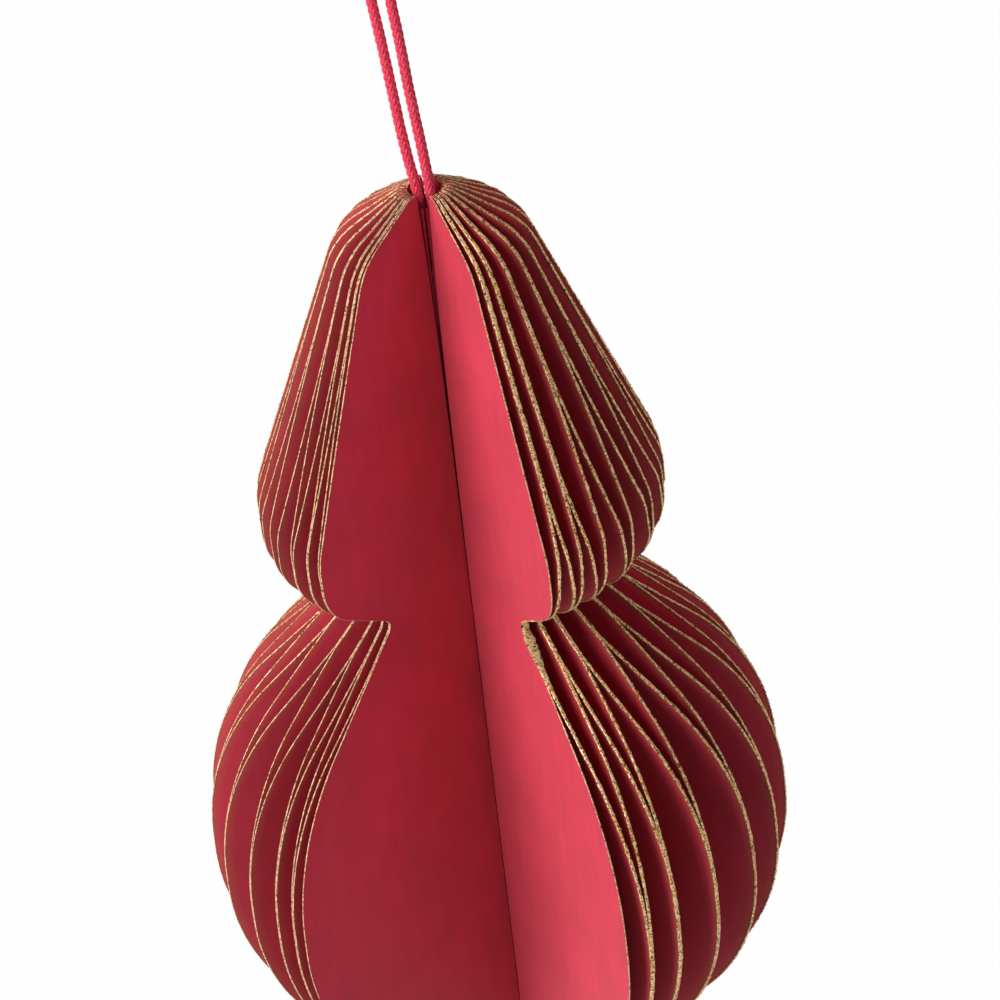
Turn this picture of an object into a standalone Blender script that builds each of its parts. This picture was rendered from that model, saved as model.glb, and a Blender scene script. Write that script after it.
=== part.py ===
"""Hanging paper finial ornament: a fan of die-cut card leaves opened round a hollow spine.

Every leaf is the same half outline, cut from coloured card. The stack is bound along its
straight edges, and each leaf is glued to one neighbour over the crown and the belly and to
its other neighbour round the waist, so that the opened fan stands in a honeycomb. A cotton
cord doubles into a loop above the crown, and its ends are set in glue inside the spine.

Metres, +Z up. The origin is at the inside of the loop's top, where a hook carries it, and
heights on the body are measured down from its crown.
"""
import math
import random

import bmesh
import bpy
from mathutils import Vector

MM = 0.001

# The fan of leaves
leaf_count = 50                      # even: two covers and whole glued pairs between them
leaf_thickness = 0.22 * MM
glue_film = 0.05 * MM                # left between two leaves where they are glued
spine_clearance = 0.08 * MM          # between neighbouring leaves at the spine
foot_mouth = 0.3 * MM                # between the two covers' inner edges, at the foot
crown_mouth = 2.2 * MM               # the same at the crown, where the cord holds them apart
mouth_curve_ratio = 7.0              # how fast the mouth narrows below the crown
right_cover_angle = math.radians(22.1)    # from straight ahead, to the viewer's right
left_cover_angle = math.radians(45.0)     # from straight ahead, to the viewer's left
crown_lean_angle = math.radians(1.7)      # how much farther round the left cover is above
crown_lean_curve_ratio = 3.0         # how late this dies away on the way down to the waist

# How much closer together the leaves lie beside each cover, and over how many pairs
right_crowding_ratio = 0.62
right_crowding_count = 1.9
left_crowding_ratio = 0.77
left_crowding_count = 2.25
pair_uneven_angle = math.radians(0.8)

# The outline of a leaf, as radius from the axis and drop below the crown
crown_lip = 2.0 * MM                 # how far the level top runs out from the spine
crown_chamfer = 0.6 * MM             # cut off the corner between the top and the spine
shoulder_radius = 15.9 * MM
shoulder_drop = 7.6 * MM
shoulder_round = 13.0 * MM
upper_bulb_radius = 34.5 * MM
upper_bulb_top_drop = 56.4 * MM
upper_bulb_bottom_drop = 67.0 * MM
upper_bulb_round = 12.5 * MM
waist_radius = 19.6 * MM
waist_drop = 76.0 * MM
waist_round = 1.5 * MM
lower_bulb_radius = 50.0 * MM
lower_bulb_top_drop = 106.6 * MM
lower_bulb_bottom_drop = 146.5 * MM
lower_bulb_top_round = 44.0 * MM
lower_bulb_bottom_round = 40.0 * MM
foot_radius = 17.5 * MM
foot_round = 27.0 * MM
foot_lip = 2.0 * MM                  # how far the level foot runs out from the spine
body_height = 174.0 * MM

shoulder_side_ratio = 0.85           # the share of the top's slope that the shoulder may use

# The straight steps in each rounding of the outline, and in the runs between some of them
shoulder_steps = 2
flank_steps = 5
upper_bulb_steps = 2
waist_steps = 1
skirt_steps = 2
lower_bulb_top_steps = 4
lower_bulb_bottom_steps = 3
foot_steps = 2

# Where the glue lines end, as drops below the crown, and how uneven their ends are
crown_bond_end = 24.0 * MM
waist_bond_start = 72.0 * MM
waist_bond_end = 81.0 * MM
belly_bond_start = 117.0 * MM
bond_unevenness = 4.0 * MM
upper_opening_ratio = 1.15           # the curve by which two leaves part below the crown
lower_opening_ratio = 1.8            # the same from the belly up to the waist

# The same ends read from the photo, for the pairs counted from the right or the left cover
right_crown_ends = [45.0 * MM, 44.0 * MM, 26.0 * MM]
left_crown_ends = [20.0 * MM, 20.0 * MM, 20.0 * MM, 22.0 * MM]
left_waist_starts = [62.0 * MM, 50.0 * MM, 60.0 * MM, 74.5 * MM]
right_belly_starts = [134.0 * MM, 116.0 * MM]
left_belly_starts = [121.0 * MM, 112.0 * MM, 116.0 * MM]

# The spine
binding_thickness = 0.15 * MM
binding_gap = 0.10 * MM              # from the leaves' inner edges to the binding
binding_top_setback = 2.5 * MM       # from the crown to the binding's top
binding_foot_setback = 0.5 * MM      # from the foot to its other end
plug_gap = 0.20 * MM
plug_length = 12.0 * MM
plug_bevel = 0.4 * MM
spine_facets = 20                    # round the binding, and round the plug

# The cord, with its route through hand-picked points: across and up from the crown's centre
cord_diameter = 1.9 * MM
crown_across = 5.9 * MM
crown_below_hook = 69.0 * MM
cord_spacing = 2.0 * cord_diameter
cord_route = [
    (-1.12, -14.0), (-1.12, -10.0), (-1.12, -6.0), (-1.14, -2.5), (-1.46, 1.0), (-2.15, 6.0),
    (-2.80, 12.0), (-3.42, 19.5), (-4.18, 28.5), (-5.03, 37.0), (-6.02, 45.0), (-7.45, 52.5),
    (-9.40, 59.0), (-10.70, 64.0), (-10.05, 68.0), (-8.15, 70.05), (-5.90, 69.95),
    (-3.55, 69.35), (-1.95, 67.1), (-1.45, 63.5), (-1.85, 58.0), (-2.10, 52.0), (-2.10, 45.0),
    (-1.90, 37.0), (-1.24, 28.5), (-0.66, 19.5), (0.05, 11.0), (0.52, 5.0), (0.78, 1.0),
    (0.84, -2.5), (0.84, -6.0), (0.84, -10.0), (0.84, -14.0),
]

red_card = (0.60, 0.03, 0.06, 1.0)
crimson_cotton = (0.56, 0.02, 0.08, 1.0)
stained_glue = (0.28, 0.05, 0.05, 1.0)

# Worked out from the sizes above
spread_angle = 2.0 * math.pi - right_cover_angle - left_cover_angle
mouth_angle = (right_cover_angle - left_cover_angle) / 2.0
leaf_pitch = leaf_thickness + spine_clearance
bound_width = (leaf_count - 1) * leaf_pitch
core_radius = (bound_width + foot_mouth) / (2.0 * math.pi)
crown = Vector((crown_across, 0.0, -crown_below_hook))


def clear_scene():
    for old in list(bpy.data.objects):
        bpy.data.objects.remove(old, do_unlink=True)


def make_material(name, colour, roughness):
    material = bpy.data.materials.new(name)
    material.use_nodes = True
    shader = material.node_tree.nodes["Principled BSDF"]
    shader.inputs["Base Color"].default_value = colour
    shader.inputs["Roughness"].default_value = roughness
    shader.inputs["Metallic"].default_value = 0.0
    material.diffuse_color = colour
    return material


def add_object(name, data, collection, material):
    piece = bpy.data.objects.new(name, data)
    piece.location = crown
    collection.objects.link(piece)
    data.materials.append(material)
    return piece


def fillet(before, corner, after, radius, steps, room):
    """Points of an arc that rounds a corner, held back where the sides leave less room."""
    side_in = (before - corner).normalized()
    side_out = (after - corner).normalized()
    half = side_in.angle(side_out) / 2.0
    reach = min(radius / math.tan(half), room)
    arc_radius = reach * math.tan(half)
    centre = corner + (side_in + side_out).normalized() * (arc_radius / math.sin(half))
    start = corner + side_in * reach - centre
    turn = start.angle_signed(corner + side_out * reach - centre)
    points = []
    for step in range(steps + 1):
        angle = -turn * step / steps
        c, s = math.cos(angle), math.sin(angle)
        points.append(centre + Vector((c * start.x - s * start.y, s * start.x + c * start.y)))
    return points


def divided(start, end, pieces):
    """The points inside a straight stretch, without its ends."""
    return [start.lerp(end, step / pieces) for step in range(1, pieces)]


def leaf_outline():
    """Rows from crown to foot, each (cut back at the spine, cut edge's radius, height)."""
    path = [
        Vector((core_radius + crown_lip, 0.0)),
        Vector((shoulder_radius, -shoulder_drop)),
        Vector((upper_bulb_radius, -upper_bulb_top_drop)),
        Vector((upper_bulb_radius, -upper_bulb_bottom_drop)),
        Vector((waist_radius, -waist_drop)),
        Vector((lower_bulb_radius, -lower_bulb_top_drop)),
        Vector((lower_bulb_radius, -lower_bulb_bottom_drop)),
        Vector((foot_radius, -body_height)),
        Vector((core_radius + foot_lip, -body_height)),
    ]
    rounds = [
        (shoulder_round, shoulder_steps, flank_steps),
        (upper_bulb_round, upper_bulb_steps, 1),
        (upper_bulb_round, upper_bulb_steps, 1),
        (waist_round, waist_steps, skirt_steps),
        (lower_bulb_top_round, lower_bulb_top_steps, 1),
        (lower_bulb_bottom_round, lower_bulb_bottom_steps, 1),
        (foot_round, foot_steps, 1),
    ]
    last = len(path) - 2
    edge = [path[0], path[0].lerp(path[1], crown_chamfer / shoulder_drop)]
    for corner, (radius, steps, divisions) in enumerate(rounds, start=1):
        before, after = path[corner - 1], path[corner + 1]
        length_in = (before - path[corner]).length
        length_out = (after - path[corner]).length
        room = min(length_in * (shoulder_side_ratio if corner == 1 else 0.5),
                   length_out * (1.0 if corner == last else 0.5))
        arc = fillet(before, path[corner], after, radius, steps, room)
        edge += arc
        if divisions > 1:
            following = path[corner + 2]
            radius_next, steps_next, _ = rounds[corner]
            room_next = 0.5 * min((after - path[corner]).length, (following - after).length)
            arc_next = fillet(path[corner], after, following, radius_next, steps_next, room_next)
            edge += divided(arc[-1], arc_next[0], divisions)
    rows = []
    for point in edge:
        rows.append((max(0.0, crown_chamfer + point.y), point.x, point.y))
    return rows


def pair_angles():
    """Plan angles of the pairs glued at crown and belly, and of those glued at the waist."""
    pairs = leaf_count // 2 - 1
    weights = []
    for gap in range(pairs + 1):
        from_right = gap / right_crowding_count
        from_left = (pairs - gap) / left_crowding_count
        weights.append(1.0 - right_crowding_ratio * math.exp(-from_right ** 2)
                       - left_crowding_ratio * math.exp(-from_left ** 2))
    step = spread_angle / sum(weights)
    drawn = random.Random(26)
    outer = []
    angle = right_cover_angle
    for weight in weights[:-1]:
        angle += weight * step
        uneven = pair_uneven_angle * weight * drawn.uniform(-1.0, 1.0)
        outer.append(angle + uneven)
    waist = [right_cover_angle]
    waist += [(a + b) / 2.0 for a, b in zip(outer, outer[1:])]
    waist.append(right_cover_angle + spread_angle)
    return outer, waist


def bond_ends():
    """For each pair, the drops at which its glue lines end."""
    drawn = random.Random(23)
    crown_ends = [crown_bond_end + bond_unevenness * drawn.uniform(-1.0, 1.0)
                  for pair in range(leaf_count // 2 - 1)]
    belly_starts = [belly_bond_start + bond_unevenness * drawn.uniform(-1.0, 1.0)
                    for pair in range(leaf_count // 2 - 1)]
    waist_starts = [waist_bond_start - bond_unevenness * drawn.uniform(0.0, 0.5)
                    for pair in range(leaf_count // 2)]
    waist_ends = [waist_bond_end + bond_unevenness * drawn.uniform(0.0, 0.5)
                  for pair in range(leaf_count // 2)]
    for pair, drop in enumerate(right_crown_ends):
        crown_ends[pair] = drop
    for pair, drop in enumerate(left_crown_ends):
        crown_ends[-1 - pair] = drop
    for pair, drop in enumerate(left_waist_starts):
        waist_starts[-1 - pair] = drop
    for pair, drop in enumerate(right_belly_starts):
        belly_starts[pair] = drop
    for pair, drop in enumerate(left_belly_starts):
        belly_starts[-1 - pair] = drop
    return list(zip(crown_ends, belly_starts)), list(zip(waist_starts, waist_ends))


def edge_run(outline, drop):
    """How far it is along the cut edge from the crown to a drop."""
    run = 0.0
    for (_, radius, height), (_, next_radius, next_height) in zip(outline, outline[1:]):
        fall = height - next_height
        if fall > 0.0:
            part = min(max((drop + height) / fall, 0.0), 1.0)
            run += part * math.hypot(next_radius - radius, fall)
    return run


def waist_share(outline, drop, outer_bond, waist_bond):
    """0 where a leaf is glued to its crown partner, 1 where it is glued to its waist one."""
    crown_end, belly_start = outer_bond
    waist_start, waist_end = waist_bond
    if waist_start <= drop <= waist_end:
        return 1.0
    if drop < waist_start:
        closed, opened, curve = crown_end, waist_start, upper_opening_ratio
    else:
        closed, opened, curve = belly_start, waist_end, lower_opening_ratio
    closed_run = edge_run(outline, closed)
    along = (edge_run(outline, drop) - closed_run) / (edge_run(outline, opened) - closed_run)
    return min(max(along, 0.0), 1.0) ** curve


def plan(radius, angle):
    """A point in plan, at an angle from straight ahead (-Y), positive to the right."""
    return Vector((radius * math.sin(angle), -radius * math.cos(angle)))


def leaf_root(index, drop):
    """The plan point of a leaf's inner edge, on the circle that the bound edges form."""
    rest = (1.0 - drop / body_height) ** mouth_curve_ratio
    mouth = foot_mouth + (crown_mouth - foot_mouth) * rest
    radius = (bound_width + mouth) / (2.0 * math.pi)
    angle = mouth_angle + (mouth / 2.0 + leaf_pitch * index) / radius
    return plan(radius, angle)


def leaf_aim(index, radius, drop, share, angles):
    """The plan point at a radius that a leaf's line heads for at this height."""
    outer_angles, waist_angles = angles
    angle = waist_angles[index // 2]
    offset = 0.0
    if 0 < index < leaf_count - 1:
        half = (leaf_thickness + glue_film) / 2.0
        outer_side = -1.0 if index % 2 else 1.0
        waist_side = 1.0 if index % 2 else -1.0
        if index in (1, leaf_count - 2):
            waist_side *= 2.0
        angle = (1.0 - share) * outer_angles[(index - 1) // 2] + share * angle
        offset = half * ((1.0 - share) * outer_side + share * waist_side)
    lean = crown_lean_angle * max(0.0, 1.0 - (drop / waist_drop) ** crown_lean_curve_ratio)
    angle -= lean * (angle - right_cover_angle) / spread_angle
    across = Vector((math.cos(angle), math.sin(angle)))
    return plan(radius, angle) + across * offset


def build_leaf(index, outline, angles, bonds):
    """One sheet of card: a grid of a single column, its rows level with the outline."""
    outer_bonds, waist_bonds = bonds
    outer_bond = outer_bonds[min(max(index - 1, 0) // 2, len(outer_bonds) - 1)]
    bm = bmesh.new()
    rows = len(outline) - 1
    bmesh.ops.create_grid(bm, x_segments=1, y_segments=rows, size=1.0)
    for vertex in bm.verts:
        row = round((1.0 - vertex.co.y) / 2.0 * rows)
        cut_back, edge_radius, height = outline[row]
        at_spine = vertex.co.x < 0.0
        root = leaf_root(index, -height)
        share = waist_share(outline, -height, outer_bond, waist_bonds[index // 2])
        aim = leaf_aim(index, max(edge_radius, shoulder_radius), -height, share, angles)
        line = (aim - root).normalized()
        inward = root.dot(line)
        to_edge = math.sqrt(inward ** 2 + edge_radius ** 2 - root.length_squared) - inward
        point = root + line * (cut_back if at_spine else to_edge)
        vertex.co = (point.x, point.y, height)
    mesh = bpy.data.meshes.new("leaf")
    bm.to_mesh(mesh)
    bm.free()
    return mesh


def add_leaves(collection, card):
    outline = leaf_outline()
    angles = pair_angles()
    bonds = bond_ends()
    for index in range(leaf_count):
        mesh = build_leaf(index, outline, angles, bonds)
        leaf = add_object("leaf_%02d" % (index + 1), mesh, collection, card)
        sheet = leaf.modifiers.new("card", "SOLIDIFY")
        sheet.thickness = leaf_thickness
        sheet.offset = 0.0


def add_binding(collection, cotton):
    """The strip that binds the leaves' inner edges, open at the front like the fan."""
    radius = core_radius - binding_gap - binding_thickness / 2.0
    mesh = bpy.data.meshes.new("binding")
    start = plan(radius, mouth_angle + foot_mouth / core_radius / 2.0)
    top = (start.x, start.y, -binding_top_setback)
    bottom = (start.x, start.y, binding_foot_setback - body_height)
    mesh.from_pydata([top, bottom], [(0, 1)], [])
    binding = add_object("spine_binding", mesh, collection, cotton)
    turn = binding.modifiers.new("turn", "SCREW")
    turn.angle = bound_width / core_radius
    turn.steps = spine_facets
    turn.render_steps = spine_facets
    turn.merge_threshold = 0.00001
    wall = binding.modifiers.new("wall", "SOLIDIFY")
    wall.thickness = binding_thickness
    wall.offset = 0.0


def add_plug(collection, glue):
    """The glue that fills the spine under the cord's ends and holds them to the binding."""
    radius = core_radius - binding_gap - binding_thickness - plug_gap
    top = cord_route[0][1] * MM - plug_gap
    bm = bmesh.new()
    bmesh.ops.create_cone(bm, cap_ends=True, segments=spine_facets, radius1=radius,
                          radius2=radius, depth=plug_length)
    bmesh.ops.translate(bm, vec=(0.0, 0.0, top - plug_length / 2.0), verts=bm.verts)
    mesh = bpy.data.meshes.new("plug")
    bm.to_mesh(mesh)
    bm.free()
    plug = add_object("glue_plug", mesh, collection, glue)
    edge = plug.modifiers.new("edge", "BEVEL")
    edge.width = plug_bevel
    edge.segments = 1


def smooth_route(route, spacing):
    """Evenly spaced points on the smooth curve that passes through the route's points."""
    dense = []
    for first in range(len(route) - 1):
        a = route[max(first - 1, 0)]
        b = route[first]
        c = route[first + 1]
        d = route[min(first + 2, len(route) - 1)]
        for step in range(16):
            t = step / 16.0
            dense.append(0.5 * (2.0 * b + (c - a) * t + (2.0 * a - 5.0 * b + 4.0 * c - d) * t ** 2
                                + (3.0 * b - a - 3.0 * c + d) * t ** 3))
    dense.append(route[-1])
    run = [0.0]
    for before, after in zip(dense, dense[1:]):
        run.append(run[-1] + (after - before).length)
    count = math.ceil(run[-1] / spacing)
    points = []
    place = 0
    for step in range(count + 1):
        target = run[-1] * step / count
        while place < len(run) - 2 and run[place + 1] < target:
            place += 1
        share = (target - run[place]) / (run[place + 1] - run[place])
        points.append(dense[place].lerp(dense[place + 1], share))
    return points


def add_cord(collection, cotton):
    route = [Vector((across * MM, 0.0, up * MM)) for across, up in cord_route]
    points = smooth_route(route, cord_spacing)
    curve = bpy.data.curves.new("cord", "CURVE")
    curve.dimensions = "3D"
    curve.bevel_depth = cord_diameter / 2.0
    curve.bevel_resolution = 2
    curve.use_fill_caps = True
    strand = curve.splines.new("POLY")
    strand.points.add(len(points) - 1)
    for spline_point, point in zip(strand.points, points):
        spline_point.co = (point.x, point.y, point.z, 1.0)
    add_object("hanging_cord", curve, collection, cotton)


def main():
    clear_scene()
    collection = bpy.data.collections.new("Paper finial ornament")
    bpy.context.scene.collection.children.link(collection)
    card = make_material("red_card", red_card, 0.75)
    cotton = make_material("crimson_cotton", crimson_cotton, 0.85)
    glue = make_material("stained_glue", stained_glue, 0.35)
    add_leaves(collection, card)
    add_binding(collection, cotton)
    add_plug(collection, glue)
    add_cord(collection, cotton)


main()
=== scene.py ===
import bisect
import math
import random

import bmesh
import bpy
from mathutils import Matrix, Vector


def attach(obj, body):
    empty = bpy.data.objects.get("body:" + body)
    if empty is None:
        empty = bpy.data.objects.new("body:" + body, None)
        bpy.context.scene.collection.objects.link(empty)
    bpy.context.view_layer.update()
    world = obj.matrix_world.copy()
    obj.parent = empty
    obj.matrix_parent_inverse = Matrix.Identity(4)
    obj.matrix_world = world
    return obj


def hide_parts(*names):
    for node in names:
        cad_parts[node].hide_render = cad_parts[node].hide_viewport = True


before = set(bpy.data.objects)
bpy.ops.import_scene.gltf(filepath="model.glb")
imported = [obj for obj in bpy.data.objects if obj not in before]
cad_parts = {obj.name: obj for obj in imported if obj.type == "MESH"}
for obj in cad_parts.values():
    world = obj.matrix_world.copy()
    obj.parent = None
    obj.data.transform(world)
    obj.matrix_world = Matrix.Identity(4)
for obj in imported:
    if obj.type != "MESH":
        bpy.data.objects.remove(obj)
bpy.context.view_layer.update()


# The camera looks down on the ornament from in front, and is rolled a little, because the
# ornament hangs askew in the photograph.
MM = 0.001
crown = Vector((5.9, 0.0, -69.0)) * MM           # measured from the inside of the loop's top
camera_aim = crown + Vector((6.34, 0.0, -63.39)) * MM
camera_distance = 1222.2 * MM
camera_lens = 259.3
camera_sensor = 36.0
camera_sight = 20.0                  # metres
camera_elevation = math.radians(34.1)
camera_roll = math.radians(-6.69)


def in_scene(name, data):
    """A new object of the scene, with its mesh, curve, lamp or camera."""
    holder = bpy.data.objects.new(name, data)
    bpy.context.scene.collection.objects.link(holder)
    return holder


back = Vector((0.0, -math.cos(camera_elevation), math.sin(camera_elevation)))
rise = Vector((0.0, math.sin(camera_elevation), math.cos(camera_elevation)))
side = Vector((1.0, 0.0, 0.0))
camera_right = side * math.cos(camera_roll) + rise * math.sin(camera_roll)
camera_up = rise * math.cos(camera_roll) - side * math.sin(camera_roll)
lens = bpy.data.cameras.new("camera")
lens.lens = camera_lens
lens.sensor_width = camera_sensor
lens.clip_end = camera_sight
camera = in_scene("camera", lens)
turned = Matrix((camera_right, camera_up, back)).transposed().to_4x4()
camera.matrix_world = Matrix.Translation(camera_aim + back * camera_distance) @ turned
bpy.context.scene.camera = camera
bpy.context.scene.view_settings.view_transform = "Standard"


# The hanging cord is a round braid of crimson cotton. Its two ends go down into the spine,
# and it doubles into the loop that a hook carries. Eight yarns wind each way round a core,
# and each passes over two and under two of the others, which gives the columns of chevrons.
cord_diameter = 1.9 * MM
cord_route = [                       # millimetres across and up from the crown
    (-1.12, -14.0), (-1.12, -10.0), (-1.12, -6.0), (-1.14, -2.5), (-1.46, 1.0), (-2.15, 6.0),
    (-2.80, 12.0), (-3.42, 19.5), (-4.18, 28.5), (-5.03, 37.0), (-6.02, 45.0), (-7.45, 52.5),
    (-9.40, 59.0), (-10.70, 64.0), (-10.05, 68.0), (-8.15, 70.05), (-5.90, 69.95),
    (-3.55, 69.35), (-1.95, 67.1), (-1.45, 63.5), (-1.85, 58.0), (-2.10, 52.0), (-2.10, 45.0),
    (-1.90, 37.0), (-1.24, 28.5), (-0.66, 19.5), (0.05, 11.0), (0.52, 5.0), (0.78, 1.0),
    (0.84, -2.5), (0.84, -6.0), (0.84, -10.0), (0.84, -14.0),
]
yarns_each_way = 8
yarn_radius = 0.245 * MM
yarn_ring = 0.62 * MM                # radius of the circle that the yarns wind on
yarn_weave = 0.08 * MM               # how far a yarn rises and dips as it crosses others
yarn_lay = 11.5 * MM                 # along the cord for one turn
yarn_roundness = 1                   # bevel resolutions
core_roundness = 2
route_steps = 16                     # steps of the smooth curve from one point to the next
yarn_step = 0.36 * MM
core_step = 4                        # the core bends at every fourth of the yarns' points
core_share = 0.62                    # the core's radius, of the cord's
cotton_tones = [(0.3, (0.68, 0.018, 0.060, 1.0)), (0.72, (0.95, 0.095, 0.160, 1.0))]
cotton_sheen = (1.0, 0.35, 0.45, 1.0)
cotton_fibre_scale = 2600.0          # waves of the noise to a metre, as on every finish here
cotton_fibre_detail = 3.0


def smooth_route(route, spacing):
    """Evenly spaced points on the smooth curve through the route's points, and its length."""
    dense = []
    for first in range(len(route) - 1):
        a = route[max(first - 1, 0)]
        b = route[first]
        c = route[first + 1]
        d = route[min(first + 2, len(route) - 1)]
        for step in range(route_steps):
            t = step / route_steps
            dense.append(0.5 * (2.0 * b + (c - a) * t + (2.0 * a - 5.0 * b + 4.0 * c - d) * t ** 2
                                + (3.0 * b - a - 3.0 * c + d) * t ** 3))
    dense.append(route[-1])
    run = [0.0]
    for before, after in zip(dense, dense[1:]):
        run.append(run[-1] + (after - before).length)
    count = math.ceil(run[-1] / spacing)
    points = []
    place = 0
    for step in range(count + 1):
        target = run[-1] * step / count
        while place < len(run) - 2 and run[place + 1] < target:
            place += 1
        share = (target - run[place]) / (run[place + 1] - run[place])
        points.append(dense[place].lerp(dense[place + 1], share))
    return points, run[-1]


def tubes_to_mesh(name, lines, radius, resolution):
    """One mesh of round tubes along the lines, from curves with a bevel."""
    curve = bpy.data.curves.new(name, "CURVE")
    curve.dimensions = "3D"
    curve.bevel_depth = radius
    curve.bevel_resolution = resolution
    curve.use_fill_caps = True
    for line in lines:
        strand = curve.splines.new("POLY")
        strand.points.add(len(line) - 1)
        for place, point in zip(strand.points, line):
            place.co = (point.x, point.y, point.z, 1.0)
    holder = in_scene(name, curve)
    bpy.context.view_layer.update()
    mesh = bpy.data.meshes.new_from_object(
        holder.evaluated_get(bpy.context.evaluated_depsgraph_get()))
    bpy.data.objects.remove(holder, do_unlink=True)
    bpy.data.curves.remove(curve)
    return mesh


def show(name, mesh, material):
    """A finished piece of the ornament, from its mesh and its material."""
    mesh.materials.clear()
    mesh.materials.append(material)
    piece = in_scene(name, mesh)
    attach(piece, "root")
    return piece


def new_material(name):
    """A material, with its nodes, its links and its shader."""
    material = bpy.data.materials.new(name)
    material.use_nodes = True
    nodes = material.node_tree.nodes
    return material, nodes, material.node_tree.links, nodes["Principled BSDF"]


def settle(node, settings):
    """Give each socket named in the settings its value."""
    for socket, value in settings.items():
        node.inputs[socket].default_value = value


def add_node(nodes, kind, settings=None):
    """A new node, with the values of its sockets."""
    node = nodes.new(kind)
    settle(node, settings or {})
    return node


def add_ramp(nodes, tones):
    """A colour ramp of the tones, each a position and a colour, from the first to the last."""
    ramp = nodes.new("ShaderNodeValToRGB")
    elements = ramp.color_ramp.elements
    for element, (position, colour) in zip(elements, (tones[0], tones[-1])):
        element.position = position
        element.color = colour
    for position, colour in tones[1:-1]:
        elements.new(position).color = colour
    return ramp


def wavering_material(name, scale, detail, tones, settings):
    """A finish whose colour wavers between its tones, on noise. Its noise is handed back too."""
    material, nodes, links, shader = new_material(name)
    settle(shader, settings)
    place = nodes.new("ShaderNodeTexCoord")
    noise = add_node(nodes, "ShaderNodeTexNoise", {"Scale": scale, "Detail": detail})
    ramp = add_ramp(nodes, tones)
    links.new(place.outputs["Object"], noise.inputs["Vector"])
    links.new(noise.outputs["Fac"], ramp.inputs["Fac"])
    links.new(ramp.outputs["Color"], shader.inputs["Base Color"])
    return material, nodes, links, shader, noise


cotton, nodes, links, shader, noise = wavering_material(
    "crimson_cotton_braid", cotton_fibre_scale, cotton_fibre_detail, cotton_tones,
    {"Roughness": 0.8, "Specular IOR Level": 0.3, "Sheen Weight": 0.35, "Sheen Roughness": 0.5,
     "Sheen Tint": cotton_sheen})
bump = add_node(nodes, "ShaderNodeBump", {"Strength": 0.5, "Distance": 0.05 * MM})
links.new(noise.outputs["Fac"], bump.inputs["Height"])
links.new(bump.outputs["Normal"], shader.inputs["Normal"])

route = [crown + Vector((across, 0.0, up)) * MM for across, up in cord_route]
cord_line, cord_length = smooth_route(route, yarn_step)
yarn_lines = []
for way in (1.0, -1.0):
    for number in range(yarns_each_way):
        yarn_line = []
        for step, middle in enumerate(cord_line):
            before = cord_line[max(step - 1, 0)]
            after = cord_line[min(step + 1, len(cord_line) - 1)]
            along = (after - before).normalized()
            across = along.cross(Vector((0.0, 1.0, 0.0))).normalized()
            out = along.cross(across)
            run = cord_length * step / (len(cord_line) - 1)
            turn = 2.0 * math.pi * (way * run / yarn_lay + number / yarns_each_way)
            ring = yarn_ring + way * yarn_weave * math.cos(yarns_each_way / 2.0 * turn)
            yarn_line.append(middle + (across * math.cos(turn) + out * math.sin(turn)) * ring)
        yarn_lines.append(yarn_line)
yarn_mesh = tubes_to_mesh("braid", yarn_lines, yarn_radius, yarn_roundness)
core_line = cord_line[::core_step] + [cord_line[-1]]
core_mesh = tubes_to_mesh("core", [core_line], core_share * cord_diameter / 2.0,
                          core_roundness)
bm = bmesh.new()
bm.from_mesh(yarn_mesh)
bm.from_mesh(core_mesh)
bm.to_mesh(yarn_mesh)
bm.free()
cord = show("braided_cord", yarn_mesh, cotton)
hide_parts("hanging_cord")


# The leaves are die-cut from red card and bound along their straight edges. Each is glued to
# one neighbour over the crown and the belly and to its other neighbour round the waist, so
# that the opened fan stands in a honeycomb.
leaf_count = 50
leaf_thickness = 0.22 * MM
glue_film = 0.05 * MM
spine_clearance = 0.08 * MM
foot_mouth = 0.3 * MM                # the gap left in the ring of bound edges, at the foot
crown_mouth = 2.2 * MM
mouth_curve_ratio = 7.0
right_cover_angle = math.radians(22.1)
left_cover_angle = math.radians(45.0)
crown_lean_angle = math.radians(1.7)             # how far the left cover leans in at the crown
crown_lean_curve_ratio = 3.0
right_crowding_ratio = 0.62          # how much closer the pairs stand beside a cover
right_crowding_count = 1.9
left_crowding_ratio = 0.77
left_crowding_count = 2.25
pair_uneven_angle = math.radians(0.8)
pair_seed = 26
crown_lip = 2.0 * MM
crown_chamfer = 0.6 * MM
shoulder_radius = 15.9 * MM
shoulder_drop = 7.6 * MM
shoulder_round = 13.0 * MM
shoulder_side_ratio = 0.85
upper_bulb_radius = 34.5 * MM
upper_bulb_top_drop = 56.4 * MM
upper_bulb_bottom_drop = 67.0 * MM
upper_bulb_round = 12.5 * MM
waist_radius = 19.6 * MM
waist_drop = 76.0 * MM
waist_round = 1.5 * MM
lower_bulb_radius = 50.0 * MM
lower_bulb_top_drop = 106.6 * MM
lower_bulb_bottom_drop = 146.5 * MM
lower_bulb_top_round = 44.0 * MM
lower_bulb_bottom_round = 40.0 * MM
foot_radius = 17.5 * MM
foot_round = 27.0 * MM
foot_lip = 2.0 * MM
body_height = 174.0 * MM
crown_bond_end = 24.0 * MM           # the glue lines' ends, down from the crown
waist_bond_start = 72.0 * MM
waist_bond_end = 81.0 * MM
belly_bond_start = 117.0 * MM
bond_unevenness = 4.0 * MM
bond_seed = 23
upper_opening_ratio = 1.15
lower_opening_ratio = 1.8
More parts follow.
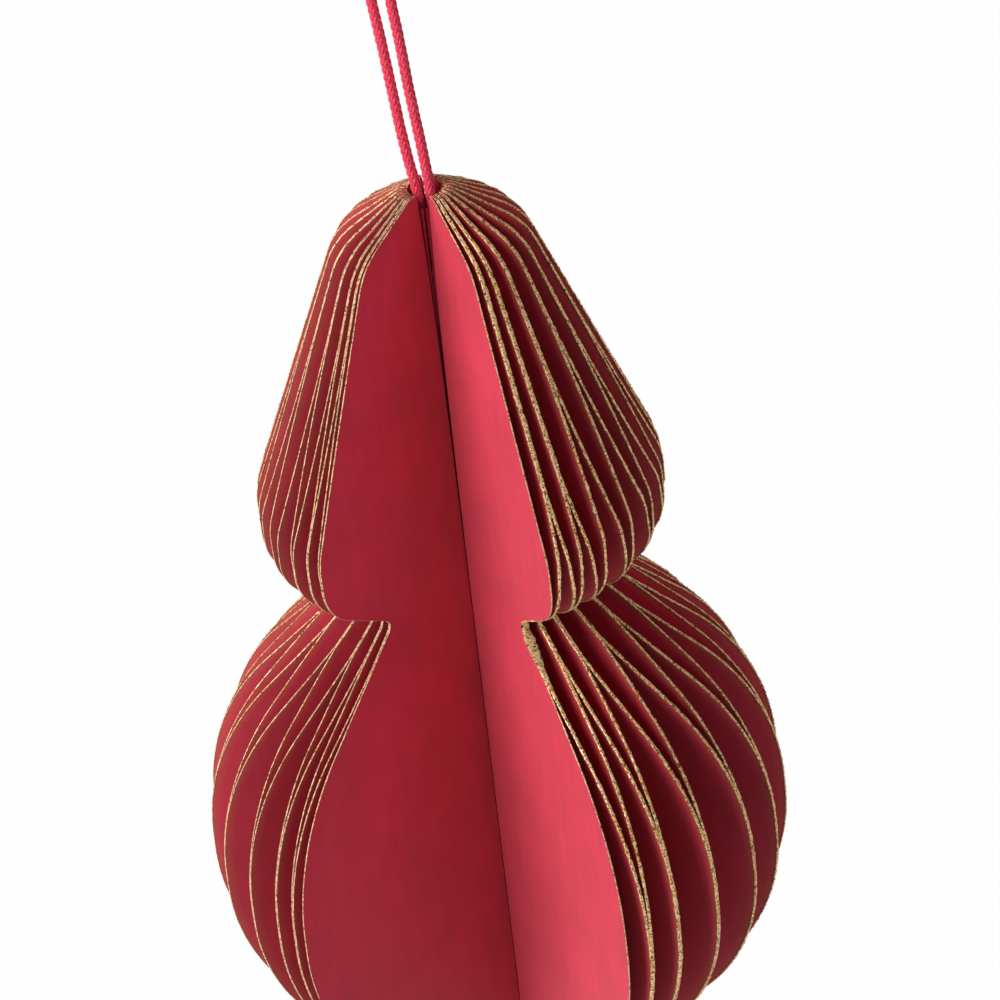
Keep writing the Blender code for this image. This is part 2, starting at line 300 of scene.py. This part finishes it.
# Ends that differ on the pairs in view, counted from the nearer cover.
right_crown_ends = [45.0 * MM, 44.0 * MM, 26.0 * MM]
left_crown_ends = [20.0 * MM, 20.0 * MM, 20.0 * MM, 22.0 * MM]
left_waist_starts = [62.0 * MM, 50.0 * MM, 60.0 * MM, 74.5 * MM]
right_belly_starts = [134.0 * MM, 116.0 * MM]
left_belly_starts = [121.0 * MM, 112.0 * MM, 116.0 * MM]
row_spacing = 1.5 * MM
leaf_columns = 4
dust_reach = 1.8 * MM                # how far gold dust lies in from the cut edge
dust_cover = 0.60                    # the dust's share of the card, at the edge
dust_tone = (0.50, 0.20, 0.07, 1.0)
dust_scale = 2200.0
card_tones = [(0.36, (0.49, 0.006, 0.032, 1.0)), (0.64, (0.61, 0.010, 0.046, 1.0))]
card_fibre_scale = (500.0, 500.0, 90.0)          # the fibres run up and down
card_mottle_scale = 90.0
card_grain_scale = 3500.0

spread_angle = 2.0 * math.pi - right_cover_angle - left_cover_angle
mouth_angle = (right_cover_angle - left_cover_angle) / 2.0
leaf_pitch = leaf_thickness + spine_clearance
bound_width = (leaf_count - 1) * leaf_pitch
core_radius = (bound_width + foot_mouth) / (2.0 * math.pi)


def fillet(before, corner, after, radius, room):
    """Points of an arc that rounds a corner, held back where the sides leave less room."""
    side_in = (before - corner).normalized()
    side_out = (after - corner).normalized()
    half = side_in.angle(side_out) / 2.0
    reach = min(radius / math.tan(half), room)
    arc_radius = reach * math.tan(half)
    centre = corner + (side_in + side_out).normalized() * (arc_radius / math.sin(half))
    start = corner + side_in * reach - centre
    turn = start.angle_signed(corner + side_out * reach - centre)
    steps = max(2, math.ceil(abs(turn) * arc_radius / row_spacing))
    points = []
    for step in range(steps + 1):
        angle = -turn * step / steps
        cosine, sine = math.cos(angle), math.sin(angle)
        points.append(centre + Vector((cosine * start.x - sine * start.y,
                                       sine * start.x + cosine * start.y)))
    return points


def leaf_edge():
    """The die-cut edge from crown to foot, as (radius, height) points."""
    path = [
        Vector((core_radius + crown_lip, 0.0)),
        Vector((shoulder_radius, -shoulder_drop)),
        Vector((upper_bulb_radius, -upper_bulb_top_drop)),
        Vector((upper_bulb_radius, -upper_bulb_bottom_drop)),
        Vector((waist_radius, -waist_drop)),
        Vector((lower_bulb_radius, -lower_bulb_top_drop)),
        Vector((lower_bulb_radius, -lower_bulb_bottom_drop)),
        Vector((foot_radius, -body_height)),
        Vector((core_radius + foot_lip, -body_height)),
    ]
    rounds = [shoulder_round, upper_bulb_round, upper_bulb_round, waist_round,
              lower_bulb_top_round, lower_bulb_bottom_round, foot_round]
    edge = [path[0]]
    for corner, radius in enumerate(rounds, start=1):
        before, after = path[corner - 1], path[corner + 1]
        length_in = (before - path[corner]).length
        length_out = (after - path[corner]).length
        room = min(length_in * (shoulder_side_ratio if corner == 1 else 0.5),
                   length_out * (1.0 if corner == len(rounds) else 0.5))
        arc = fillet(before, path[corner], after, radius, room)
        straight = arc[0] - edge[-1]
        pieces = max(1, math.ceil(straight.length / row_spacing))
        edge += [edge[-1] + straight * step / pieces for step in range(1, pieces)]
        edge += arc
    return edge


def pair_angles():
    """Plan angles of the pairs glued at crown and belly, and of those glued at the waist."""
    pairs = leaf_count // 2 - 1
    weights = []
    for gap in range(pairs + 1):
        from_right = gap / right_crowding_count
        from_left = (pairs - gap) / left_crowding_count
        weights.append(1.0 - right_crowding_ratio * math.exp(-from_right ** 2)
                       - left_crowding_ratio * math.exp(-from_left ** 2))
    step = spread_angle / sum(weights)
    drawn = random.Random(pair_seed)
    outer = []
    angle = right_cover_angle
    for weight in weights[:-1]:
        angle += weight * step
        outer.append(angle + pair_uneven_angle * weight * drawn.uniform(-1.0, 1.0))
    waist = [right_cover_angle]
    waist += [(a + b) / 2.0 for a, b in zip(outer, outer[1:])]
    waist.append(right_cover_angle + spread_angle)
    return outer, waist


def bond_ends():
    """For each pair, the drops at which its glue lines end, drawn or as listed above."""
    drawn = random.Random(bond_seed)
    crown_ends = [crown_bond_end + bond_unevenness * drawn.uniform(-1.0, 1.0)
                  for pair in range(leaf_count // 2 - 1)]
    belly_starts = [belly_bond_start + bond_unevenness * drawn.uniform(-1.0, 1.0)
                    for pair in range(leaf_count // 2 - 1)]
    waist_starts = [waist_bond_start - bond_unevenness * drawn.uniform(0.0, 0.5)
                    for pair in range(leaf_count // 2)]
    waist_ends = [waist_bond_end + bond_unevenness * drawn.uniform(0.0, 0.5)
                  for pair in range(leaf_count // 2)]
    for pair, drop in enumerate(right_crown_ends):
        crown_ends[pair] = drop
    for pair, drop in enumerate(left_crown_ends):
        crown_ends[-1 - pair] = drop
    for pair, drop in enumerate(left_waist_starts):
        waist_starts[-1 - pair] = drop
    for pair, drop in enumerate(right_belly_starts):
        belly_starts[pair] = drop
    for pair, drop in enumerate(left_belly_starts):
        belly_starts[-1 - pair] = drop
    return list(zip(crown_ends, belly_starts)), list(zip(waist_starts, waist_ends))


edge = leaf_edge()
edge_drops = [-point.y for point in edge]
edge_runs = [0.0]
for before, after in zip(edge, edge[1:]):
    edge_runs.append(edge_runs[-1] + (after - before).length)


def edge_run(drop):
    """How far it is along the cut edge from the crown to a drop."""
    place = min(max(bisect.bisect_right(edge_drops, drop) - 1, 0), len(edge_drops) - 2)
    fall = edge_drops[place + 1] - edge_drops[place]
    part = min(max((drop - edge_drops[place]) / fall, 0.0), 1.0)
    return edge_runs[place] + part * (edge_runs[place + 1] - edge_runs[place])


def waist_share(drop, outer_bond, waist_bond):
    """0 where a leaf is glued to its crown partner, 1 where it is glued to its waist one."""
    crown_end, belly_start = outer_bond
    waist_start, waist_end = waist_bond
    if waist_start <= drop <= waist_end:
        return 1.0
    if drop < waist_start:
        closed, opened, curve = crown_end, waist_start, upper_opening_ratio
    else:
        closed, opened, curve = belly_start, waist_end, lower_opening_ratio
    closed_run = edge_run(closed)
    along = (edge_run(drop) - closed_run) / (edge_run(opened) - closed_run)
    return min(max(along, 0.0), 1.0) ** curve


def plan(radius, angle):
    """A point in plan, at an angle from straight ahead (-Y), positive to the right."""
    return Vector((radius * math.sin(angle), -radius * math.cos(angle)))


def leaf_root(index, drop):
    """The plan point of a leaf's inner edge, on the circle that the bound edges form."""
    rest = max(0.0, 1.0 - drop / body_height) ** mouth_curve_ratio
    mouth = foot_mouth + (crown_mouth - foot_mouth) * rest
    radius = (bound_width + mouth) / (2.0 * math.pi)
    return plan(radius, mouth_angle + (mouth / 2.0 + leaf_pitch * index) / radius)


outer_angles, waist_angles = pair_angles()
outer_bonds, waist_bonds = bond_ends()


def leaf_aim(index, radius, drop):
    """The plan point at a radius that a leaf's line heads for at this height."""
    angle = waist_angles[index // 2]
    offset = 0.0
    if 0 < index < leaf_count - 1:
        outer_pair = (index - 1) // 2
        share = waist_share(drop, outer_bonds[outer_pair], waist_bonds[index // 2])
        half = (leaf_thickness + glue_film) / 2.0
        outer_side = -1.0 if index % 2 else 1.0
        waist_side = 1.0 if index % 2 else -1.0
        if index in (1, leaf_count - 2):     # its cover stays put, so it makes way for both
            waist_side *= 2.0
        angle = (1.0 - share) * outer_angles[outer_pair] + share * angle
        offset = half * ((1.0 - share) * outer_side + share * waist_side)
    lean = crown_lean_angle * max(0.0, 1.0 - (drop / waist_drop) ** crown_lean_curve_ratio)
    angle -= lean * (angle - right_cover_angle) / spread_angle
    across = Vector((math.cos(angle), math.sin(angle)))
    return plan(radius, angle) + across * offset


def leaf_row(index, radius, height):
    """Where a leaf's row at this height starts, its direction, and its reach to the radius."""
    root = leaf_root(index, -height)
    line = (leaf_aim(index, max(radius, shoulder_radius), -height) - root).normalized()
    inward = root.dot(line)
    reach = math.sqrt(inward ** 2 + radius ** 2 - root.length_squared) - inward
    return crown + Vector((root.x, root.y, height)), Vector((line.x, line.y, 0.0)), reach


card, nodes, links, shader = new_material("red_card")
settle(shader, {"Roughness": 0.78, "Specular IOR Level": 0.75, "Sheen Weight": 0.08,
                "Sheen Roughness": 0.6})
place = nodes.new("ShaderNodeTexCoord")
lengthwise = add_node(nodes, "ShaderNodeMapping", {"Scale": card_fibre_scale})
fibres = add_node(nodes, "ShaderNodeTexNoise", {"Scale": 1.0, "Detail": 5.0, "Roughness": 0.65})
mottle = add_node(nodes, "ShaderNodeTexNoise", {"Scale": card_mottle_scale, "Detail": 4.0})
both = nodes.new("ShaderNodeMath")
both.operation = "ADD"
mean = add_node(nodes, "ShaderNodeMath", {1: 0.5})
mean.operation = "MULTIPLY"
tone = add_ramp(nodes, card_tones)
links.new(place.outputs["Object"], lengthwise.inputs["Vector"])
links.new(lengthwise.outputs["Vector"], fibres.inputs["Vector"])
links.new(place.outputs["Object"], mottle.inputs["Vector"])
links.new(fibres.outputs["Fac"], both.inputs[0])
links.new(mottle.outputs["Fac"], both.inputs[1])
links.new(both.outputs["Value"], mean.inputs[0])
links.new(mean.outputs["Value"], tone.inputs["Fac"])

# Gold dust lies along the cut edge. The sheet's UV map holds the distance from that edge.
sheet_map = nodes.new("ShaderNodeUVMap")
sheet_map.uv_map = "sheet"
from_edge = nodes.new("ShaderNodeSeparateXYZ")
fade = add_node(nodes, "ShaderNodeMapRange", {"From Min": 0.0, "From Max": dust_reach,
                                              "To Min": dust_cover, "To Max": 0.0})
dust = add_node(nodes, "ShaderNodeTexNoise", {"Scale": dust_scale, "Detail": 2.0})
patches = nodes.new("ShaderNodeMath")
patches.operation = "MULTIPLY"
dusted = nodes.new("ShaderNodeMix")
dusted.data_type = "RGBA"
dusted.inputs["B"].default_value = dust_tone
links.new(sheet_map.outputs["UV"], from_edge.inputs["Vector"])
links.new(from_edge.outputs["X"], fade.inputs["Value"])
links.new(place.outputs["Object"], dust.inputs["Vector"])
links.new(fade.outputs["Result"], patches.inputs[0])
links.new(dust.outputs["Fac"], patches.inputs[1])
links.new(patches.outputs["Value"], dusted.inputs["Factor"])
links.new(tone.outputs["Color"], dusted.inputs["A"])
links.new(dusted.outputs["Result"], shader.inputs["Base Color"])

grain = add_node(nodes, "ShaderNodeTexNoise", {"Scale": card_grain_scale, "Detail": 3.0})
bump = add_node(nodes, "ShaderNodeBump", {"Strength": 0.35, "Distance": 0.02 * MM})
links.new(place.outputs["Object"], grain.inputs["Vector"])
links.new(grain.outputs["Fac"], bump.inputs["Height"])
links.new(bump.outputs["Normal"], shader.inputs["Normal"])

for index in range(leaf_count):
    rows = [leaf_row(index, radius, height) for radius, height in edge]
    bm = bmesh.new()
    bmesh.ops.create_grid(bm, x_segments=leaf_columns, y_segments=len(rows) - 1, size=1.0)
    sheet_uv = bm.loops.layers.uv.new("sheet")
    for vertex in bm.verts:
        row = round((1.0 - vertex.co.y) / 2.0 * (len(rows) - 1))
        share = (vertex.co.x + 1.0) / 2.0
        root, line, reach = rows[row]
        cut_back = max(0.0, crown_chamfer + edge[row].y)
        along = cut_back + (reach - cut_back) * share
        vertex.co = root + line * along
        for corner in vertex.link_loops:
            distance = dust_reach if index in (0, leaf_count - 1) else reach - along
            corner[sheet_uv].uv = (distance, edge_runs[row])
    name = "card_leaf_%02d" % (index + 1)
    mesh = bpy.data.meshes.new(name)
    bm.to_mesh(mesh)
    bm.free()
    leaf = show(name, mesh, card)
    solid = leaf.modifiers.new("card", "SOLIDIFY")
    solid.thickness = leaf_thickness
    solid.offset = 0.0
    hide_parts("leaf_%02d" % (index + 1))


# Gold glitter is stuck along every die-cut edge. A flat band of glue carries it, thick on the
# leaves to the right and thin on those to the left, and flakes stand on the band at all angles.
thick_band = 0.27 * MM               # half its width, across the sheet
thin_band = 0.12 * MM
cover_band = 0.12 * MM
band_depth = 0.13 * MM               # half its depth, outwards from the cut edge
thin_from = 28                       # the leaves between which thick turns into thin
thin_until = 42
band_step = 0.55 * MM
band_sides = 6
full_band_radius = 20.0 * MM         # nearer the axis the band and its flakes are finer
crown_band_share = 0.35
least_band = 0.12 * MM               # still hides the card's own edge
waist_patch = 0.62 * MM              # a thick dab on the first pair, from the waist down
waist_patch_drop = 77.5 * MM
waist_patch_length = 5.0 * MM
width_wavers = (0.75, 1.3)           # shares of the width, drawn at each step of the band
depth_wavers = (0.7, 1.4)
band_seed = 5
merge_distance = 0.001 * MM
leaves_per_band = 10
flakes_per_square_mm = 4.5
flake_size = (0.07 * MM, 0.23 * MM)
flake_height_ratio = 0.7
flake_tilt = 1.1                     # radians, either way
flake_place_seed, flake_size_seed, flake_tilt_seed = 7, 3, 5
speck_size = 0.24 * MM               # a speck of one tone
# The specks' tones are partly painted light. The mid golds are the glitter's own colour, the
# bright cream specks are painted glints, and the near-black brown ones are painted shade, for
# flakes that catch or miss the light.
speck_and_glint_tones = [
    (0.0, (0.07, 0.018, 0.008, 1.0)), (0.18, (0.40, 0.15, 0.040, 1.0)),
    (0.38, (1.0, 0.53, 0.17, 1.0)), (0.68, (1.0, 0.74, 0.36, 1.0)),
    (1.0, (1.0, 0.88, 0.62, 1.0)),
]
# On a fine band the painted glints are mixed towards this duller tone.
fine_band_glint_tone = (0.60, 0.43, 0.34, 1.0)         # the bright specks of a fine band are duller
fine_band_share = 0.85
finest, full = 0.45, 0.8             # between these finenesses that share fades out
gold_gloss = (1.0, 0.78, 0.50, 1.0)

glitter, nodes, links, shader = new_material("gold_glitter")
settle(shader, {"Metallic": 0.3, "Roughness": 0.4, "Specular IOR Level": 0.3,
                "Specular Tint": gold_gloss})
place = nodes.new("ShaderNodeTexCoord")
snap = add_node(nodes, "ShaderNodeVectorMath", {1: (speck_size, speck_size, speck_size)})
snap.operation = "SNAP"
speck = nodes.new("ShaderNodeTexWhiteNoise")
tone = add_ramp(nodes, speck_and_glint_tones)
links.new(place.outputs["Object"], snap.inputs[0])
links.new(snap.outputs["Vector"], speck.inputs["Vector"])
links.new(speck.outputs["Value"], tone.inputs["Fac"])
fineness = nodes.new("ShaderNodeAttribute")
fineness.attribute_name = "fineness"
duller = add_node(nodes, "ShaderNodeMapRange", {"From Min": finest, "From Max": full,
                                                "To Min": fine_band_share, "To Max": 0.0})
bright = nodes.new("ShaderNodeMath")
bright.operation = "MULTIPLY"
toned = nodes.new("ShaderNodeMix")
toned.data_type = "RGBA"
toned.inputs["B"].default_value = fine_band_glint_tone
links.new(fineness.outputs["Fac"], duller.inputs["Value"])
links.new(duller.outputs["Result"], bright.inputs[0])
links.new(speck.outputs["Value"], bright.inputs[1])
links.new(bright.outputs["Value"], toned.inputs["Factor"])
links.new(tone.outputs["Color"], toned.inputs["A"])
links.new(toned.outputs["Result"], shader.inputs["Base Color"])


def even_points(line, spacing):
    """Points at an even spacing along a line of straight stretches."""
    points = [line[0]]
    left = spacing
    for before, after in zip(line, line[1:]):
        length = (after - before).length
        while length >= left:
            before = before.lerp(after, left / length)
            length -= left
            left = spacing
            points.append(before)
        left -= length
    return points


def flake_scatter():
    """Geometry nodes that stand small flakes on a band at random and join them to it."""
    tree = bpy.data.node_groups.new("flake_scatter", "GeometryNodeTree")
    tree.interface.new_socket("Geometry", in_out="INPUT", socket_type="NodeSocketGeometry")
    tree.interface.new_socket("Geometry", in_out="OUTPUT", socket_type="NodeSocketGeometry")
    nodes, link = tree.nodes, tree.links.new
    band = nodes.new("NodeGroupInput")
    spots = add_node(nodes, "GeometryNodeDistributePointsOnFaces",
                     {"Density": flakes_per_square_mm / MM ** 2, "Seed": flake_place_seed})
    flake = add_node(nodes, "GeometryNodeMeshCone",
                     {"Vertices": 3, "Radius Bottom": 1.0, "Depth": flake_height_ratio})
    size = nodes.new("FunctionNodeRandomValue")
    size.data_type = "FLOAT"
    settle(size, {2: flake_size[0], 3: flake_size[1], "Seed": flake_size_seed})
    fineness = nodes.new("GeometryNodeInputNamedAttribute")
    fineness.data_type = "FLOAT"
    settle(fineness, {"Name": "fineness"})
    scaled = nodes.new("ShaderNodeMath")
    scaled.operation = "MULTIPLY"
    tilt = nodes.new("FunctionNodeRandomValue")
    tilt.data_type = "FLOAT_VECTOR"
    settle(tilt, {0: (-flake_tilt, -flake_tilt, -math.pi), 1: (flake_tilt, flake_tilt, math.pi),
                  "Seed": flake_tilt_seed})
    turned = nodes.new("FunctionNodeRotateRotation")
    turned.rotation_space = "LOCAL"
    stand = nodes.new("GeometryNodeInstanceOnPoints")
    real = nodes.new("GeometryNodeRealizeInstances")
    joined = nodes.new("GeometryNodeJoinGeometry")
    out = nodes.new("NodeGroupOutput")
    link(band.outputs[0], spots.inputs["Mesh"])
    link(spots.outputs["Rotation"], turned.inputs[0])
    link(tilt.outputs[0], turned.inputs[1])
    link(spots.outputs["Points"], stand.inputs["Points"])
    link(flake.outputs["Mesh"], stand.inputs["Instance"])
    link(turned.outputs[0], stand.inputs["Rotation"])
    link(size.outputs[1], scaled.inputs[0])
    link(fineness.outputs["Attribute"], scaled.inputs[1])
    link(scaled.outputs[0], stand.inputs["Scale"])
    link(stand.outputs[0], real.inputs[0])
    link(real.outputs[0], joined.inputs[0])
    link(band.outputs[0], joined.inputs[0])
    link(joined.outputs[0], out.inputs[0])
    return tree


def band_half_width(index, radius, drop):
    """Half the width of a leaf's glitter band at a radius and a drop from the crown."""
    if index in (0, leaf_count - 1):
        return cover_band
    share = min(max((index - thin_from) / (thin_until - thin_from), 0.0), 1.0)
    near_axis = min(radius / full_band_radius, 1.0)
    fine = crown_band_share + (1.0 - crown_band_share) * near_axis
    half = max((thick_band + (thin_band - thick_band) * share) * fine, least_band)
    if index == 1:
        half += waist_patch * math.exp(-((drop - waist_patch_drop) / waist_patch_length) ** 2)
    return half


scatter = flake_scatter()
drawn = random.Random(band_seed)
band_edge = even_points([Vector((core_radius + crown_chamfer, 0.0))] + edge, band_step)
for first in range(0, leaf_count, leaves_per_band):
    bm = bmesh.new()
    fineness_layer = bm.verts.layers.float.new("fineness")
    for index in range(first, min(first + leaves_per_band, leaf_count)):
        rows = [leaf_row(index, radius, height) for radius, height in band_edge]
        tips = [root + line * reach for root, line, reach in rows]
        sections = []
        for row, (root, line, reach) in enumerate(rows):
            along = (tips[min(row + 1, len(tips) - 1)] - tips[max(row - 1, 0)]).normalized()
            across = along.cross(line).normalized()
            out = across.cross(along)
            radius, height = band_edge[row]
            half = band_half_width(index, radius, -height)
            wide = half * drawn.uniform(*width_wavers)
            fine = min(half / thick_band, 1.0)
            deep = band_depth * fine * drawn.uniform(*depth_wavers)
            sections.append((tips[row], across * wide, out * deep, fine))
        made = bmesh.ops.create_grid(bm, x_segments=band_sides, y_segments=len(rows) - 1,
                                     size=1.0)["verts"]
        for vertex in made:
            row = round((1.0 - vertex.co.y) / 2.0 * (len(rows) - 1))
            tip, wide, deep, vertex[fineness_layer] = sections[row]
            turn = math.pi * (vertex.co.x + 1.0)
            vertex.co = tip + wide * math.cos(turn) + deep * math.sin(turn)
    bmesh.ops.remove_doubles(bm, verts=bm.verts, dist=merge_distance)
    name = "glitter_%02d" % (first // leaves_per_band + 1)
    band = bpy.data.meshes.new(name)
    bm.to_mesh(band)
    bm.free()
    holder = in_scene(name, band)
    holder.modifiers.new("flakes", "NODES").node_group = scatter
    graph = bpy.context.evaluated_depsgraph_get()
    mesh = bpy.data.meshes.new_from_object(holder.evaluated_get(graph))
    bpy.data.objects.remove(holder, do_unlink=True)
    show(name, mesh, glitter)


# A strip of crimson cotton is glued round the leaves' bound edges, inside the spine. Its dark
# colour here is painted shade, for the shade deep in the spine. A plug of craft glue, stained by
# the card, fills it and holds the cord's ends. Both are the frame's own solids, the glue in its
# real finish.
binding_scale = 1800.0
binding_detail = 2.0
# The binding's tones are painted shade: a near-black crimson in place of its brighter crimson
# cotton.
binding_painted_shade_tones = [(0.0, (0.20, 0.004, 0.014, 1.0)), (1.0, (0.30, 0.008, 0.024, 1.0))]
glue_scale = 900.0
glue_detail = 2.0
glue_tones = [(0.0, (0.12, 0.014, 0.016, 1.0)), (1.0, (0.18, 0.024, 0.026, 1.0))]

tape = wavering_material("binding_cotton_painted_shade", binding_scale, binding_detail, binding_painted_shade_tones,
                         {"Roughness": 0.9, "Specular IOR Level": 0.2})[0]
hard_glue = wavering_material("stained_glue", glue_scale, glue_detail, glue_tones,
                              {"Roughness": 0.6, "Specular IOR Level": 0.2})[0]
for node, finish in (("spine_binding", tape), ("glue_plug", hard_glue)):
    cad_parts[node].data.materials.clear()
    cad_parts[node].data.materials.append(finish)


# A plain white floor lies well below the hanging ornament and fills the view behind it. It
# shows white to the camera and in gloss, and lights the ornament as pale grey paint would.
floor_height = -0.62
floor_half_side = 6.0
floor_grey = (0.8, 0.8, 0.8, 1.0)
floor_white_share = 0.98

floor_paint, nodes, links, shader = new_material("white_floor")
settle(shader, {"Base Color": floor_grey, "Roughness": 0.9})
ray = nodes.new("ShaderNodeLightPath")
seen = nodes.new("ShaderNodeMath")
seen.operation = "MAXIMUM"
mirrored = nodes.new("ShaderNodeMath")
mirrored.operation = "MAXIMUM"
share = add_node(nodes, "ShaderNodeMath", {1: floor_white_share})
share.operation = "MULTIPLY"
white = add_node(nodes, "ShaderNodeEmission", {"Strength": 1.0})
blend = nodes.new("ShaderNodeMixShader")
links.new(ray.outputs["Is Camera Ray"], seen.inputs[0])
links.new(ray.outputs["Is Glossy Ray"], seen.inputs[1])
links.new(seen.outputs["Value"], mirrored.inputs[0])
links.new(ray.outputs["Is Transmission Ray"], mirrored.inputs[1])
links.new(mirrored.outputs["Value"], share.inputs[0])
links.new(share.outputs["Value"], blend.inputs["Fac"])
links.new(shader.outputs["BSDF"], blend.inputs[1])
links.new(white.outputs["Emission"], blend.inputs[2])
links.new(blend.outputs["Shader"], nodes["Material Output"].inputs["Surface"])
bm = bmesh.new()
bmesh.ops.create_grid(bm, x_segments=1, y_segments=1, size=floor_half_side)
bmesh.ops.translate(bm, vec=(0.0, 0.0, floor_height), verts=bm.verts)
mesh = bpy.data.meshes.new("floor")
bm.to_mesh(mesh)
bm.free()
floor = in_scene("floor", mesh)
mesh.materials.append(floor_paint)


# Soft studio light: a large softbox to the left, weaker ones to the right and behind, and a
# faint white room. Only the large one shows in gloss.
room_light = 0.03
white = (1.0, 1.0, 1.0, 1.0)
body_middle = crown + Vector((0.0, 0.0, -0.5 * body_height))


def softbox(name, azimuth, elevation, distance, size, power, in_gloss=False):
    """An area lamp aimed at the ornament. Azimuth 0 is in front, and positive to the right."""
    azimuth, elevation = math.radians(azimuth), math.radians(elevation)
    lamp = bpy.data.lights.new(name, "AREA")
    lamp.size = size
    lamp.energy = power
    holder = in_scene(name, lamp)
    flat = plan(math.cos(elevation) * distance, azimuth)
    holder.location = body_middle + Vector((flat.x, flat.y, math.sin(elevation) * distance))
    holder.rotation_euler = (holder.location - body_middle).to_track_quat("Z", "Y").to_euler()
    holder.visible_glossy = in_gloss


softbox("key", azimuth=-60.0, elevation=25.0, distance=1.6, size=1.4, power=36.0, in_gloss=True)
softbox("fill", azimuth=62.0, elevation=38.0, distance=2.0, size=1.2, power=10.5)
softbox("back", azimuth=172.0, elevation=30.0, distance=2.0, size=1.4, power=14.0)
world = bpy.data.worlds.new("studio")
world.use_nodes = True
bpy.context.scene.world = world
nodes, links = world.node_tree.nodes, world.node_tree.links
room = nodes["Background"]
settle(room, {"Color": white, "Strength": room_light})
backdrop = add_node(nodes, "ShaderNodeBackground", {"Color": white, "Strength": 1.0})
ray = nodes.new("ShaderNodeLightPath")
blend = nodes.new("ShaderNodeMixShader")
links.new(ray.outputs["Is Camera Ray"], blend.inputs["Fac"])
links.new(room.outputs["Background"], blend.inputs[1])
links.new(backdrop.outputs["Background"], blend.inputs[2])
links.new(blend.outputs["Shader"], nodes["World Output"].inputs["Surface"])
